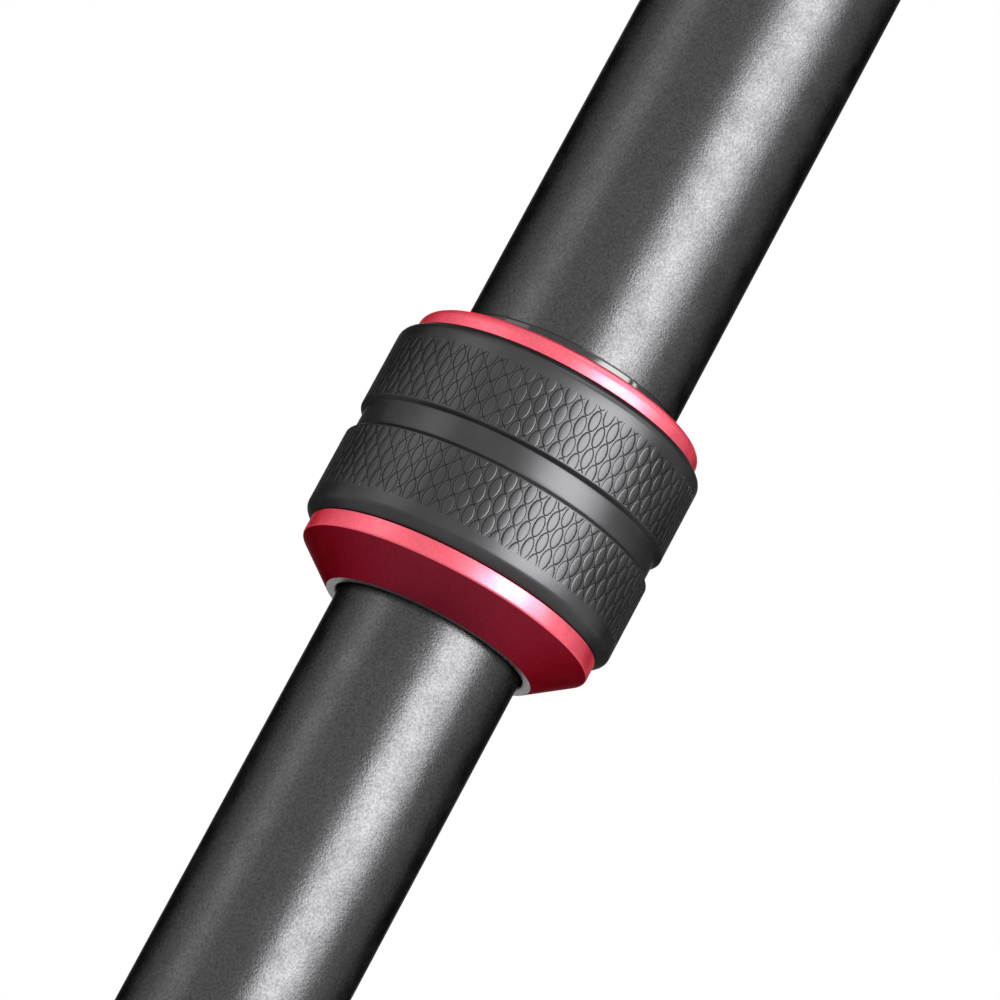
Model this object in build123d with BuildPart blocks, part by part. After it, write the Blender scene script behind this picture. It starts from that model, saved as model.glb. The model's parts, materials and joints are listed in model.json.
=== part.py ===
from build123d import *
import os
from math import cos, radians, sin

# A camera tripod: three legs of three telescoping tubes, each joined by twist locks, a spider casting
# with a centre column, and a mounting plate with a head screw. The origin is the middle of the plate's
# face, +Z points up. The legs stand spread on their first stop, with both lower sections drawn out.

# Driving dimensions, in millimetres and degrees
UPPER_R = 13.0
MIDDLE_R = 11.25
LOWER_R = 9.5
TUBE_WALL = 1.3
COLUMN_R = 12.5
COLUMN_WALL = 1.5
LEG_AZIMUTHS = (180, 300, 60)
STOP_SPREADS = (27, 50, 75)
LEG_LEAN = STOP_SPREADS[0]
HINGE_REACH = 40
HINGE_Z = -70
RUNNING = 0.05
CLEAR = 0.1

# Heights along a leg, from its hinge pin
TUBE_SEAT_Z = -28
UPPER_LOCK_Z = -460
LOWER_LOCK_Z = -820
FOOT_Z = -1190
TUBE_OVERLAP = 65
GUIDE_LENGTH = 15

# Twist lock: heights from the middle of its grip, towards the leg's top
LIP_TOP = 16.2
RING_CREST = 15.6
RING_SHOULDER = 14.75
RING_EDGE = 13.3
RING_BASE = 12.24
THREAD_TOP = 13.8
THREAD_BASE = -8.0
TUBE_END = -6.2
RIM_TOP = -11.78
RIM_BASE = -13.8
MOUTH_Z = -17.67
CONE_TOP = -10.2
CONE_BASE = -14.8

# Twist lock: radii, as how far each stands out from the tube that carries the lock
LIP_PROUD = 0.45
LIP_BORE_PROUD = 0.6
SHOULDER_PROUD = 3.3
RING_PROUD = 4.37
SEAT_PROUD = 3.6
RIM_PROUD = 4.58
THREAD_PROUD = 2.0
# and from the tube that slides in it
MOUTH_GAP = 0.35
MOUTH_LAND = 1.75

# Split collet inside the lock
COLLET_PROUD = 1.2
COLLET_TIP = 1.35
COLLET_NECK = -10.0
COLLET_END = -14.5
SLITS = 6
SLIT_WIDTH = 1.2
SLIT_ROOT = -9.0

# Rubber grip: two bands with a groove between them
GRIP_PROUD = 5.71
GRIP_EDGE_PROUD = 4.67
GROOVE_PROUD = 5.08
GRIP_CROWN = 10.5
GROOVE_TOP = 2.1
GROOVE_WALL = 1.75
GROOVE_FOOT = -1.1
GROOVE_BASE = -1.67
GRIP_FOOT = -10.42

# Hinge of a leg: pin, thrust washers and the spider's arm between the fork's cheeks
ARM_HALF = 8.0
WASHER = 0.8
WASHER_R = 8.0
PIN_R = 3.0
PIN_HEAD_R = 5.6
PIN_HEAD = 2.0

# Leg shoulder: a fork over the hinge pin, blended into a round socket for the upper tube
CHEEK_IN = ARM_HALF + CLEAR + WASHER
CHEEK_OUT = 14.9
CHEEK_R = 11.5
CROWN_R = 5.0
CROWN_Z = 10.5
CROWN_REACH = (-3.2, 6.0)
FORK_FLOOR = -14.5
FORK_FOOT = -30
FORK_FOOT_HALF = 13.0
BLEND_TOP = -22
BLEND_R = 20.0
SOCKET_R = 16.2
SOCKET_TOP = -32
SOCKET_BASE = -62
SOCKET_EDGE = 1.0

# Stop tab, which slides across the top of the fork
TAB_LOW = 10.9
TAB_HIGH = 14.9
TAB_HALF = 8.4
TAB_NOSE = 8.6
TAB_TAIL = 15.5
TAB_LIP = 3.4
TAB_LIP_HIGH = 18.0
TAB_EDGE = 1.0
RAIL_HALF = 10.2
RAIL_LOW = 12.0
RAIL_HIGH = 13.8
RAIL_LENGTH = 16.0
RAIL_GAP = 0.2
STOP_GAP = 0.15

# Spider casting, with its arms' heights taken from the hinge pins
ARM_BOSS_R = 9.5
TOOTH_HEIGHT = 12.67
CROWN_SETBACK = 2.2
TOOTH_FOOT = (-12.6, -6.1)
WEB_TOP_ANGLE = 222
WEB_LOW_ANGLE = 252
WEB_KNEE = (-16.0, -12.6)
WEB_ROOT = -14.0
HUB_R = 21
HUB_TOP = -57
HUB_BASE = -86
HUB_EDGE = 0.8
NECK_R = 15.75
BUSH_R = 14.4
COLUMN_LOCK_Z = -39.7

# Bubble level, in a boss beside the hub
LEVEL_REACH = 27.5
LEVEL_BOSS_R = 7.6
LEVEL_BOSS = 11
LEVEL_R = 5.5
LEVEL_DEPTH = 4.6
LEVEL_CROWN = 0.8
LEVEL_EDGE = 0.3

# Centre column, its end plug and the ring that a weight hangs from
COLUMN_TOP = -12
COLUMN_BASE = -336
COLUMN_PLUG = 14
COLUMN_FLANGE_R = 14.2
COLUMN_FLANGE = 4
EYE_DROP = 10.0
EYE_R = 4.6
EYE_HALF = 2.0
RING_WIRE = 2.6
RING_R = 8.0

# Mounting plate, pad and head screw
PLATE_R = 30
PLATE_RIM = -0.6
PLATE_BASE = -10
PLATE_EDGE = 0.6
PLATE_UNDERCUT = 2.5
PAD_R = 28.5
PAD = 2.0
PLATE_SOCKET_R = 16.5
PLATE_SOCKET_BASE = -20
STUD_R = 4.76
STUD_TOP = 10.5
STUD_CHAMFER = 0.9
SHANK_R = 5.5
SCREW_HEAD_R = 8.6
SCREW_HEAD = 5

# Rubber foot and the plug that carries it, from the foot's middle
FOOT_R = 14.0
FOOT_FACE_R = 7.0
FOOT_FACE = -14
FOOT_ROLL_R = 11.8
FOOT_ROLL = -11.4
FOOT_HEEL = -6.5
FOOT_BELLY = 3
FOOT_WAIST = 12
FOOT_SLEEVE_R = 12.2
FOOT_TOP = 22
FOOT_EDGE = 1
FOOT_STUD_R = 4.5
FOOT_STUD_END = -6
FOOT_SHOULDER = 4
FOOT_PLUG_FLANGE = 2
FOOT_PLUG = 20


def turned(points):
    """A solid of revolution about Z, from an outline of (radius, height) points."""
    with BuildPart() as body:
        with BuildSketch(Plane.XZ):
            with BuildLine():
                Polyline(*points, close=True)
            make_face()
        revolve(axis=Axis.Z)
    return body.part


def sleeve(outer_r, inner_r, low, high):
    """A plain tube about Z."""
    with BuildPart() as pipe:
        with BuildSketch(Plane.XY.offset(low)):
            Circle(outer_r)
            Circle(inner_r, mode=Mode.SUBTRACT)
        extrude(amount=high - low)
    return pipe.part


def lock_nut(tube_r, inner_r):
    """The nut of a twist lock: a domed ring, a seat for the grip, a rim and a cone to the mouth.

    Inside are the thread's relief and the cone that squeezes the collet as the nut is turned.
    """
    ring_r = tube_r + RING_PROUD
    seat_r = tube_r + SEAT_PROUD
    rim_r = tube_r + RIM_PROUD
    outside = [
        (tube_r + LIP_BORE_PROUD, RING_CREST),
        (tube_r + SHOULDER_PROUD, RING_SHOULDER),
        (ring_r, RING_EDGE),
        (ring_r, RING_BASE),
        (seat_r, RING_BASE),
        (seat_r, RIM_TOP),
        (rim_r, RIM_TOP),
        (rim_r, RIM_BASE),
        (inner_r + MOUTH_LAND, MOUTH_Z),
    ]
    thread_r = tube_r + THREAD_PROUD + CLEAR
    inside = [
        (inner_r + MOUTH_GAP, MOUTH_Z),
        (inner_r + MOUTH_GAP, CONE_BASE),
        (inner_r + COLLET_TIP + 1.5 * CLEAR, CONE_BASE),
        (tube_r + COLLET_PROUD + 2 * CLEAR, CONE_TOP),
        (thread_r, CONE_TOP),
        (thread_r, THREAD_TOP + 2 * CLEAR),
        (tube_r + LIP_BORE_PROUD, THREAD_TOP + 2 * CLEAR),
    ]
    return turned(outside + inside)


def lock_grip(tube_r):
    """The rubber sleeve that is stretched over the nut's seat, in two bands beside a groove."""
    seat_r = tube_r + SEAT_PROUD
    band_r = tube_r + GRIP_PROUD
    groove_r = tube_r + GROOVE_PROUD
    return turned(
        [
            (seat_r, RING_BASE),
            (tube_r + GRIP_EDGE_PROUD, RING_BASE),
            (band_r, GRIP_CROWN),
            (band_r, GROOVE_TOP),
            (groove_r, GROOVE_WALL),
            (groove_r, GROOVE_FOOT),
            (band_r, GROOVE_BASE),
            (band_r, GRIP_FOOT),
            (tube_r + RIM_PROUD, RIM_TOP),
            (seat_r, RIM_TOP),
        ]
    )


def lock_ferrule(tube_r):
    """The threaded ferrule bonded round a tube's lower end, whose lip shows above the nut."""
    return turned(
        [
            (tube_r, LIP_TOP),
            (tube_r + LIP_PROUD, LIP_TOP),
            (tube_r + LIP_PROUD, THREAD_TOP),
            (tube_r + THREAD_PROUD, THREAD_TOP),
            (tube_r + THREAD_PROUD, THREAD_BASE),
            (tube_r, THREAD_BASE),
        ]
    )


def split_collet(body_outline, tube_r, inner_r):
    """A collet: its body's outline, then a flange and a taper, slit into fingers from the tip up."""
    fingers = [
        (tube_r + COLLET_PROUD, THREAD_BASE),
        (tube_r + COLLET_PROUD, COLLET_NECK),
        (inner_r + COLLET_TIP, COLLET_END),
        (inner_r + RUNNING, COLLET_END),
    ]
    with BuildPart() as collet:
        add(turned(body_outline + fingers))
        with Locations((0, 0, (COLLET_END + SLIT_ROOT) / 2)):
            with PolarLocations(inner_r + COLLET_PROUD, SLITS):
                Box(4 * COLLET_PROUD, SLIT_WIDTH, SLIT_ROOT - COLLET_END, mode=Mode.SUBTRACT)
    return collet.part


def lock_collet(tube_r, inner_r):
    """The split plastic collet under a tube's end, which the nut squeezes onto the sliding tube."""
    body = [(inner_r + RUNNING, TUBE_END), (tube_r, TUBE_END), (tube_r, THREAD_BASE)]
    return split_collet(body, tube_r, inner_r)


def guide(outer_tube_r, inner_tube_r, top):
    """The thin bush round the top of a sliding tube, which runs in the tube outside it."""
    bore_r = outer_tube_r - TUBE_WALL
    return sleeve(bore_r - RUNNING, inner_tube_r, top - GUIDE_LENGTH, top)


def fork_block():
    """The fork's outer form: a cheek round the pin under the tab's crown, cut round at its foot."""
    with BuildPart() as block:
        with BuildSketch(Plane.XZ):
            Circle(CHEEK_R)
            with Locations(*[(reach, CROWN_Z) for reach in CROWN_REACH]):
                Circle(CROWN_R)
            with Locations((0, FORK_FOOT)):
                Rectangle(2 * FORK_FOOT_HALF, SOCKET_EDGE)
            make_hull()
        extrude(amount=CHEEK_OUT, both=True)
        with BuildSketch(Plane.XZ):
            with BuildLine():
                Polyline(
                    (0, SOCKET_TOP),
                    (SOCKET_R, SOCKET_TOP),
                    (BLEND_R, BLEND_TOP),
                    (BLEND_R, 2 * CHEEK_R),
                    (0, 2 * CHEEK_R),
                    close=True,
                )
            make_face()
        revolve(axis=Axis.Z, mode=Mode.INTERSECT)
    return block.part


def leg_shoulder():
    """The casting at a leg's top: a fork over the hinge pin, with a socket for the upper tube."""
    with BuildPart() as shoulder:
        add(fork_block())
        with BuildSketch(Plane.XY.offset(SOCKET_BASE)):
            Circle(SOCKET_R)
        extrude(amount=FORK_FLOOR - SOCKET_BASE - SOCKET_EDGE)
        chamfer(shoulder.faces().sort_by(Axis.Z)[0].edges(), SOCKET_EDGE)
        with BuildSketch(Plane.XZ):
            with Locations((0, FORK_FLOOR)):
                Rectangle(4 * CHEEK_R, 4 * CHEEK_R, align=(Align.CENTER, Align.MIN))
        extrude(amount=CHEEK_IN, both=True, mode=Mode.SUBTRACT)
        with BuildSketch(Plane.XZ):
            with Locations((0, (RAIL_LOW + RAIL_HIGH) / 2)):
                Rectangle(4 * CHEEK_R, RAIL_HIGH - RAIL_LOW + 2 * RAIL_GAP)
        extrude(amount=RAIL_HALF + RAIL_GAP, both=True, mode=Mode.SUBTRACT)
        for side in (1, -1):
            with Locations(Plane(origin=(0, side * CHEEK_OUT, 0), z_dir=(0, side, 0))):
                CounterBoreHole(
                    radius=PIN_R + RUNNING,
                    counter_bore_radius=PIN_HEAD_R + 4 * CLEAR,
                    counter_bore_depth=PIN_HEAD + 2 * CLEAR,
                    depth=CHEEK_OUT,
                )
        with BuildSketch(Plane.XY.offset(SOCKET_BASE)):
            Circle(UPPER_R)
        extrude(amount=TUBE_SEAT_Z - SOCKET_BASE, mode=Mode.SUBTRACT)
    return shoulder.part


def stop_tab():
    """The sliding tab whose nose meets the spider's stop, with rails at its sides and a finger lip."""
    with BuildPart() as tab:
        with BuildSketch(Plane.XZ):
            with BuildLine():
                Polyline(
                    (-TAB_NOSE, TAB_LOW),
                    (TAB_TAIL, TAB_LOW),
                    (TAB_TAIL, TAB_LIP_HIGH - TAB_EDGE),
                    (TAB_TAIL - TAB_EDGE, TAB_LIP_HIGH),
                    (TAB_TAIL - TAB_LIP, TAB_LIP_HIGH),
                    (TAB_TAIL - TAB_LIP, TAB_HIGH),
                    (-TAB_NOSE, TAB_HIGH),
                    close=True,
                )
            make_face()
        extrude(amount=TAB_HALF, both=True)
        with Locations((0, 0, (RAIL_LOW + RAIL_HIGH) / 2)):
            Box(RAIL_LENGTH, 2 * RAIL_HALF, RAIL_HIGH - RAIL_LOW)
    return tab.part


def pivot_washers():
    """The two thrust washers between a fork's cheeks and the spider's arm."""
    with BuildPart() as washers:
        for side in (1, -1):
            with BuildSketch(Plane.XZ.offset(-side * CHEEK_IN)):
                Circle(WASHER_R)
                Circle(PIN_R + 3 * CLEAR, mode=Mode.SUBTRACT)
            extrude(amount=side * WASHER)
    return washers.part


def leg_foot():
    """The rubber foot: a swollen round pad on the plug's stud, with a sleeve up the lower tube."""
    plug_base = FOOT_Z + FOOT_SHOULDER
    return turned(
        [
            (0, FOOT_Z + FOOT_FACE),
            (FOOT_FACE_R, FOOT_Z + FOOT_FACE),
            (FOOT_ROLL_R, FOOT_Z + FOOT_ROLL),
            (FOOT_R, FOOT_Z + FOOT_HEEL),
            (FOOT_R, FOOT_Z + FOOT_BELLY),
            (FOOT_SLEEVE_R, FOOT_Z + FOOT_WAIST),
            (FOOT_SLEEVE_R, FOOT_Z + FOOT_TOP - FOOT_EDGE),
            (FOOT_SLEEVE_R - FOOT_EDGE, FOOT_Z + FOOT_TOP),
            (LOWER_R, FOOT_Z + FOOT_TOP),
            (LOWER_R, plug_base),
            (FOOT_STUD_R, plug_base),
            (FOOT_STUD_R, FOOT_Z + FOOT_STUD_END),
            (0, FOOT_Z + FOOT_STUD_END),
        ]
    )


def foot_plug():
    """The plug in the lower tube's end, with the stud that carries the foot."""
    bore_r = LOWER_R - TUBE_WALL
    plug_base = FOOT_Z + FOOT_SHOULDER
    tube_end = plug_base + FOOT_PLUG_FLANGE
    return turned(
        [
            (0, tube_end + FOOT_PLUG),
            (bore_r, tube_end + FOOT_PLUG),
            (bore_r, tube_end),
            (LOWER_R, tube_end),
            (LOWER_R, plug_base),
            (FOOT_STUD_R, plug_base),
            (FOOT_STUD_R, FOOT_Z + FOOT_STUD_END),
            (0, FOOT_Z + FOOT_STUD_END),
        ]
    )


def stop_corner(spread, height):
    """Where a point of the tab's nose plane, in the leg's frame, stands in the arm's plane at a spread."""
    nose = -TAB_NOSE - STOP_GAP
    lean = radians(spread)
    return (nose * cos(lean) - height * sin(lean), nose * sin(lean) + height * cos(lean))


def boss_point(angle):
    """A point on the round boss at an arm's end, by its angle about the hinge pin."""
    return (ARM_BOSS_R * cos(radians(angle)), ARM_BOSS_R * sin(radians(angle)))


def arm_plane(azimuth):
    """The upright plane through the column's axis and a leg, centred on the leg's hinge pin."""
    turn = radians(azimuth)
    return Plane(
        origin=(HINGE_REACH * cos(turn), HINGE_REACH * sin(turn), HINGE_Z),
        x_dir=(cos(turn), sin(turn), 0),
        z_dir=(sin(turn), -cos(turn), 0),
    )


def leg_plane(azimuth):
    """A leg's own frame: its origin on the hinge pin, Z up the leg, X outwards, Y along the pin."""
    turn = radians(azimuth)
    lean = radians(LEG_LEAN)
    return Plane(
        origin=(HINGE_REACH * cos(turn), HINGE_REACH * sin(turn), HINGE_Z),
        x_dir=(cos(lean) * cos(turn), cos(lean) * sin(turn), sin(lean)),
        z_dir=(-sin(lean) * cos(turn), -sin(lean) * sin(turn), cos(lean)),
    )


def arm_outline():
    """The outline of a spider arm: the stop teeth at its root, and a low web out to the pin's boss.

    Each tooth is a flat that the tab's nose meets at one of the leg's spreads.
    """
    root = BUSH_R - HINGE_REACH
    teeth = []
    for spread in STOP_SPREADS:
        teeth.append(stop_corner(spread, TAB_HIGH + 2 * STOP_GAP))
        teeth.append(stop_corner(spread, TOOTH_HEIGHT))
    arm_top = HUB_TOP - HINGE_Z
    first_x, first_z = teeth[0]
    crown = [(root, arm_top), (first_x - CROWN_SETBACK, arm_top - HUB_EDGE)]
    web = [TOOTH_FOOT, boss_point(WEB_TOP_ANGLE), boss_point(WEB_LOW_ANGLE), WEB_KNEE, (root, WEB_ROOT)]
    return crown + teeth + web


def hub_outline():
    """The half section of the spider's hub, with the threaded neck of the column lock on top."""
    lip_r = NECK_R + LIP_PROUD
    thread_r = NECK_R + THREAD_PROUD
    return [
        (BUSH_R, HUB_BASE),
        (HUB_R - 2 * HUB_EDGE, HUB_BASE),
        (HUB_R, HUB_BASE + 2 * HUB_EDGE),
        (HUB_R, HUB_TOP - HUB_EDGE),
        (HUB_R - HUB_EDGE, HUB_TOP),
        (lip_r, HUB_TOP),
        (lip_r, COLUMN_LOCK_Z - THREAD_TOP),
        (thread_r, COLUMN_LOCK_Z - THREAD_TOP),
        (thread_r, COLUMN_LOCK_Z - THREAD_BASE),
        (BUSH_R, COLUMN_LOCK_Z - THREAD_BASE),
    ]


def spider():
    """The casting that the legs hinge on: a bored hub, three arms, a threaded neck and a level's boss."""
    boss_top = HUB_TOP - HUB_EDGE
    with BuildPart() as casting:
        add(turned(hub_outline()))
        for azimuth in LEG_AZIMUTHS:
            with BuildSketch(arm_plane(azimuth)):
                with BuildLine():
                    Polyline(*arm_outline(), close=True)
                make_face()
                Circle(ARM_BOSS_R)
                Circle(PIN_R, mode=Mode.SUBTRACT)
            extrude(amount=ARM_HALF, both=True)
        with BuildSketch(Plane.XY.offset(boss_top)):
            with Locations((HUB_R - LEVEL_BOSS_R, 0), (LEVEL_REACH, 0)):
                Circle(LEVEL_BOSS_R)
            make_hull()
        extrude(amount=-LEVEL_BOSS)
        with BuildSketch(Plane.XY.offset(boss_top)):
            with Locations((LEVEL_REACH, 0)):
                Circle(LEVEL_R)
        extrude(amount=-LEVEL_DEPTH, mode=Mode.SUBTRACT)
        with BuildSketch(Plane.XY.offset(HUB_BASE)):
            Circle(BUSH_R)
        extrude(amount=COLUMN_LOCK_Z - HUB_BASE, mode=Mode.SUBTRACT)
    return casting.part


def bubble_level():
    """The round spirit level in its pocket beside the hub, with a low domed cap."""
    boss_top = HUB_TOP - HUB_EDGE
    level = turned(
        [
            (0, boss_top - LEVEL_DEPTH),
            (LEVEL_R, boss_top - LEVEL_DEPTH),
            (LEVEL_R, boss_top + LEVEL_EDGE),
            (LEVEL_R - 2 * LEVEL_EDGE, boss_top + 2 * LEVEL_EDGE),
            (0, boss_top + LEVEL_CROWN),
        ]
    )
    return level.moved(Location((LEVEL_REACH, 0, 0)))


def hinge_pins():
    """The three hinge bolts, each a shaft with a head at both ends."""
    pin_half = CHEEK_OUT - CLEAR
    with BuildPart() as pins:
        for azimuth in LEG_AZIMUTHS:
            with BuildSketch(arm_plane(azimuth)):
                Circle(PIN_R)
            extrude(amount=pin_half, both=True)
            for side in (1, -1):
                with BuildSketch(arm_plane(azimuth).offset(side * pin_half)):
                    Circle(PIN_HEAD_R)
                extrude(amount=-side * PIN_HEAD)
    return pins.part


def column_lock_place():
    """The column lock stands upside down: its mouth is at the top, where the column comes out."""
    return Location((0, 0, COLUMN_LOCK_Z), (180, 0, 0))


def column_bush():
    """The plastic sleeve in the hub, whose split top is the column lock's collet."""
    body = [
        (COLUMN_R + RUNNING, COLUMN_LOCK_Z - HUB_BASE),
        (BUSH_R, COLUMN_LOCK_Z - HUB_BASE),
        (BUSH_R, THREAD_BASE),
    ]
    return split_collet(body, NECK_R, COLUMN_R).moved(column_lock_place())


def mounting_plate():
    """The round plate under the head, with a recess for the pad and a socket over the column."""
    return turned(
        [
            (SHANK_R, -PAD),
            (PAD_R, -PAD),
            (PAD_R, PLATE_RIM),
            (PLATE_R - PLATE_EDGE, PLATE_RIM),
            (PLATE_R, PLATE_RIM - PLATE_EDGE),
            (PLATE_R, PLATE_BASE + PLATE_UNDERCUT),
            (PLATE_R - PLATE_UNDERCUT, PLATE_BASE),
            (PLATE_SOCKET_R + PLATE_UNDERCUT, PLATE_BASE),
            (PLATE_SOCKET_R, PLATE_BASE - PLATE_UNDERCUT),
            (PLATE_SOCKET_R, PLATE_SOCKET_BASE + PLATE_EDGE),
            (PLATE_SOCKET_R - PLATE_EDGE, PLATE_SOCKET_BASE),
            (COLUMN_R, PLATE_SOCKET_BASE),
            (COLUMN_R, COLUMN_TOP),
            (SHANK_R, COLUMN_TOP),
        ]
    )


def head_screw():
    """The screw that a head is turned onto: a free stud, a shank through the plate and a hexagon head."""
    with BuildPart() as screw:
        with BuildSketch(Plane.XY):
            Circle(STUD_R)
        extrude(amount=STUD_TOP)
        chamfer(screw.faces().sort_by(Axis.Z)[-1].edges(), STUD_CHAMFER)
        with BuildSketch(Plane.XY):
            Circle(SHANK_R)
        extrude(amount=COLUMN_TOP)
        with BuildSketch(Plane.XY.offset(COLUMN_TOP)):
            RegularPolygon(SCREW_HEAD_R, 6)
        extrude(amount=-SCREW_HEAD)
    return screw.part


def column_end():
    """The plug in the column's lower end: a stop flange and an eye for the ring."""
    eye_z = COLUMN_BASE - EYE_DROP
    with BuildPart() as plug:
        with BuildSketch(Plane.XY.offset(COLUMN_BASE)):
            Circle(COLUMN_R - COLUMN_WALL)
        extrude(amount=COLUMN_PLUG)
        with BuildSketch(Plane.XY.offset(COLUMN_BASE)):
            Circle(COLUMN_FLANGE_R)
        extrude(amount=-COLUMN_FLANGE)
        with BuildSketch(Plane.YZ):
            with Locations((0, eye_z)):
                Circle(EYE_R)
            with Locations((0, COLUMN_BASE - COLUMN_FLANGE)):
                Rectangle(4 * EYE_R, EYE_HALF)
            make_hull()
            with Locations((0, eye_z)):
                Circle(RING_WIRE, mode=Mode.SUBTRACT)
        extrude(amount=EYE_HALF, both=True)
    return plug.part


def load_ring():
    """The flat ring that a weight is hung from, hanging through the eye."""
    with BuildPart() as ring:
        with BuildSketch(Plane.XZ):
            with Locations((0, COLUMN_BASE - EYE_DROP - RING_R)):
                Circle(RING_R + RING_WIRE / 2)
                Circle(RING_R - RING_WIRE / 2, mode=Mode.SUBTRACT)
        extrude(amount=RING_WIRE / 2, both=True)
    return ring.part


def leg_parts():
    """Every piece of one leg, in the leg's own frame."""
    upper_end = UPPER_LOCK_Z + TUBE_END
    lower_end = LOWER_LOCK_Z + TUBE_END
    foot_end = FOOT_Z + FOOT_SHOULDER + FOOT_PLUG_FLANGE
    middle_top = UPPER_LOCK_Z + TUBE_OVERLAP
    lower_top = LOWER_LOCK_Z + TUBE_OVERLAP
    upper_lock = Location((0, 0, UPPER_LOCK_Z))
    lower_lock = Location((0, 0, LOWER_LOCK_Z))
    upper_bushes = [lock_collet(UPPER_R, MIDDLE_R).moved(upper_lock), pivot_washers()]
    middle_bushes = [
        lock_collet(MIDDLE_R, LOWER_R).moved(lower_lock),
        guide(UPPER_R, MIDDLE_R, middle_top),
    ]
    lower_bushes = [foot_plug(), guide(MIDDLE_R, LOWER_R, lower_top)]
    return {
        "shoulder": leg_shoulder(),
        "stop_tab": stop_tab(),
        "upper_tube": sleeve(UPPER_R, UPPER_R - TUBE_WALL, upper_end, TUBE_SEAT_Z),
        "upper_ferrule": lock_ferrule(UPPER_R).moved(upper_lock),
        "upper_bushes": Compound(children=upper_bushes),
        "upper_lock_nut": lock_nut(UPPER_R, MIDDLE_R).moved(upper_lock),
        "upper_lock_grip": lock_grip(UPPER_R).moved(upper_lock),
        "middle_tube": sleeve(MIDDLE_R, MIDDLE_R - TUBE_WALL, lower_end, middle_top),
        "lower_ferrule": lock_ferrule(MIDDLE_R).moved(lower_lock),
        "middle_bushes": Compound(children=middle_bushes),
        "lower_lock_nut": lock_nut(MIDDLE_R, LOWER_R).moved(lower_lock),
        "lower_lock_grip": lock_grip(MIDDLE_R).moved(lower_lock),
        "lower_tube": sleeve(LOWER_R, LOWER_R - TUBE_WALL, foot_end, lower_top),
        "lower_bushes": Compound(children=lower_bushes),
        "foot": leg_foot(),
    }


def centre_parts():
    """Every piece of the tripod's centre."""
    lock_place = column_lock_place()
    return {
        "spider": spider(),
        "hinge_pins": hinge_pins(),
        "column_bush": column_bush(),
        "bubble_level": bubble_level(),
        "column_lock_nut": lock_nut(NECK_R, COLUMN_R).moved(lock_place),
        "column_lock_grip": lock_grip(NECK_R).moved(lock_place),
        "centre_column": sleeve(COLUMN_R, COLUMN_R - COLUMN_WALL, COLUMN_BASE, COLUMN_TOP),
        "column_end": column_end(),
        "load_ring": load_ring(),
        "mounting_plate": mounting_plate(),
        "plate_pad": sleeve(PAD_R, SHANK_R + 3 * CLEAR, -PAD, 0),
        "head_screw": head_screw(),
    }


def write(name, piece):
    """Label a piece and write it to its own file."""
    piece.label = name
    export_step(piece, f"parts/{name}.step")


os.makedirs("parts", exist_ok=True)
for name, piece in centre_parts().items():
    write(name, piece)
one_leg = leg_parts()
for number, azimuth in enumerate(LEG_AZIMUTHS, start=1):
    for name, piece in one_leg.items():
        write(f"leg_{number}_{name}", piece.moved(leg_plane(azimuth).location))
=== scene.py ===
"""Looks of a camera tripod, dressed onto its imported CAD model.

The tripod has three legs of three telescoping tubes, each drawn out of the one above through a
twist lock, a spider casting with a centre column, and a mounting plate with a head screw. The
classes below are its finishes, its sub-assemblies, the studio round it and what all of them are
made with. Sizes are in millimetres, and a leg's heights are measured up the leg from its hinge pin.
"""

from __future__ import annotations

import json
import logging
from collections.abc import Callable, Iterable, Sequence
from dataclasses import dataclass, field
from enum import Enum
from math import atan2, cos, hypot, pi, radians, sin, tan

import bmesh
import bpy
from mathutils import Matrix, Vector

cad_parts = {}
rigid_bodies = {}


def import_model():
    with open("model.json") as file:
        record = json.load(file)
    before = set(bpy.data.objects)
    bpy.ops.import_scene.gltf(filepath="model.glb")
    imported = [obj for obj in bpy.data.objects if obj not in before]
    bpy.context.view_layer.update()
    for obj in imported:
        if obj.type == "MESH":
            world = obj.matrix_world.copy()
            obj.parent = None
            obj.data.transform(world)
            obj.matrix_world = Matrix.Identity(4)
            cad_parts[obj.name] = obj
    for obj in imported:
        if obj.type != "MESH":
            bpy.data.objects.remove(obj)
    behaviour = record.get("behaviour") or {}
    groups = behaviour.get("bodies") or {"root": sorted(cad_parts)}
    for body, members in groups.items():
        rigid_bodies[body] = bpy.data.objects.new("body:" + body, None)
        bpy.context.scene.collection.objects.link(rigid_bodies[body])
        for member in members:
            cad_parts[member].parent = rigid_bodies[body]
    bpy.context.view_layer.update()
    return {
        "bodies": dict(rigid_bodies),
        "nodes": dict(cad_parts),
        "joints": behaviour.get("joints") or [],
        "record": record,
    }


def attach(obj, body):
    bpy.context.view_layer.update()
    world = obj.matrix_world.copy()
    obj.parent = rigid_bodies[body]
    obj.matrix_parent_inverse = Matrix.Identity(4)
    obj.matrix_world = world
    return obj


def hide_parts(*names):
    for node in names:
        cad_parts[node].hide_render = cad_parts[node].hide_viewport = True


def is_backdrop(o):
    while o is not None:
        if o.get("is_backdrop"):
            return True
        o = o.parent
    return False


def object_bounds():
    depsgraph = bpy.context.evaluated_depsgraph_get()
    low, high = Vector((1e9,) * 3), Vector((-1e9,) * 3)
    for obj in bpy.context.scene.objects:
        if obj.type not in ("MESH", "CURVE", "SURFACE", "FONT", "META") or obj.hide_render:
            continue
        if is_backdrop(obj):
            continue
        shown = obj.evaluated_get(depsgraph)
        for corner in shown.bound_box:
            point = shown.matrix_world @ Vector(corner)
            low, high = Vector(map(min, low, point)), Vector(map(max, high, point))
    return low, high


log = logging.getLogger("tripod")

MM = 0.001
ORIGIN = Matrix.Identity(4)
# Faces that meet at more than this have a sharp edge between them
SHARP = radians(32)
# How near points are, in millimetres, that lie on one radius, in one seam or in one place
CLOSE = 0.01
SEAM = 0.001
TOUCHING = 0.0001
# Faces under this, in square millimetres, are empty
NO_AREA = 1e-9

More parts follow.
